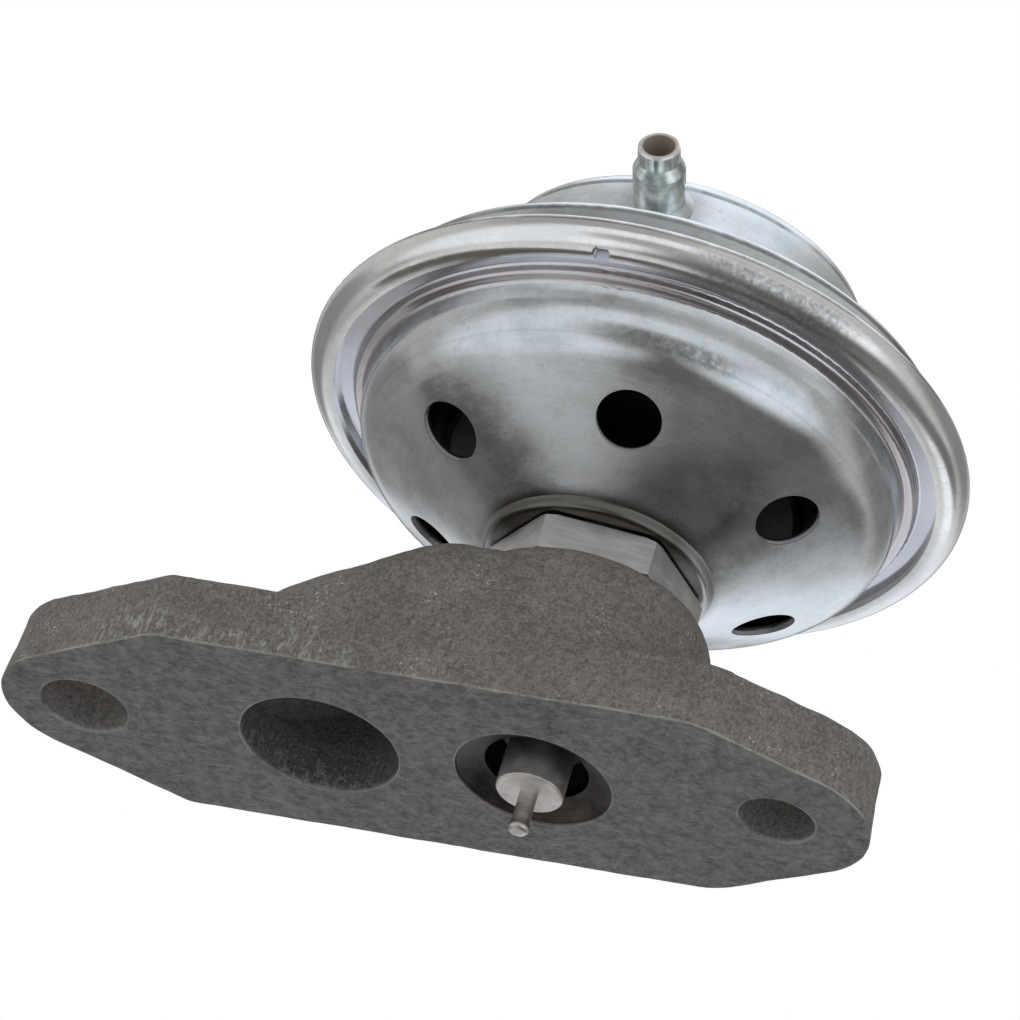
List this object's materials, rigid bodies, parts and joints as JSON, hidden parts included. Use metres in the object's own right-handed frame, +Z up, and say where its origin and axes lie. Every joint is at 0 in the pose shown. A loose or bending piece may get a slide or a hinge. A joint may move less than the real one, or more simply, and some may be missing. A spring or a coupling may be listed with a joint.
{
  "type": "exhaust gas recirculation valve",
  "caption": "Vacuum operated exhaust gas recirculation valve: a cast iron port flange under a crimped diaphragm can with vents, a hose nipple and a spring-loaded pintle in its outlet port.",
  "frame": {"origin": "centre of the machined mounting face, half way between the axes of the large and the small bolt hole", "axes": "+Z up along the valve stem, away from the mounting face; +X from the large bolt hole to the small one; the vacuum nipple points along -Y and a little up"},
  "size_m": [0.1021, 0.0786, 0.0771],
  "materials": {
    "cast_iron": "as cast, with a machined mounting face",
    "zinc_plated_steel": "semi-gloss zinc plate",
    "bare_steel": "satin, turned",
    "bushing_metal": "sintered",
    "packing": "matte",
    "gasket_fibre": "matte",
    "diaphragm_rubber": "matte"
  },
  "bodies": {
    "housing": {"base_casting": "cast_iron", "seat_ring": "bare_steel", "hex_adapter": "bare_steel", "shell_gasket": "gasket_fibre", "stem_bushing": "bushing_metal", "stem_seal": "packing", "seal_retainer": "bare_steel", "lower_shell": "zinc_plated_steel", "upper_shell": "zinc_plated_steel", "vacuum_nipple": "zinc_plated_steel", "nipple_braze": "bushing_metal", "diaphragm": "diaphragm_rubber", "spring_seat": "zinc_plated_steel", "return_spring": "bare_steel"},
    "valve": {"stem": "bare_steel", "pintle": "bare_steel", "pintle_pin": "bare_steel", "collar_washer": "bare_steel", "lower_plate": "zinc_plated_steel", "upper_plate": "zinc_plated_steel", "rivet_washer": "bare_steel"}
  },
  "joints": [
    {"name": "valve_lift", "type": "slide", "parent": "housing", "child": "valve", "axis": [0, 0, 1], "range_m": [0, 0.006], "stiffness_N_per_m": 1500, "springref_m": -0.01, "deforming": ["return_spring", "diaphragm"]}
  ]
}
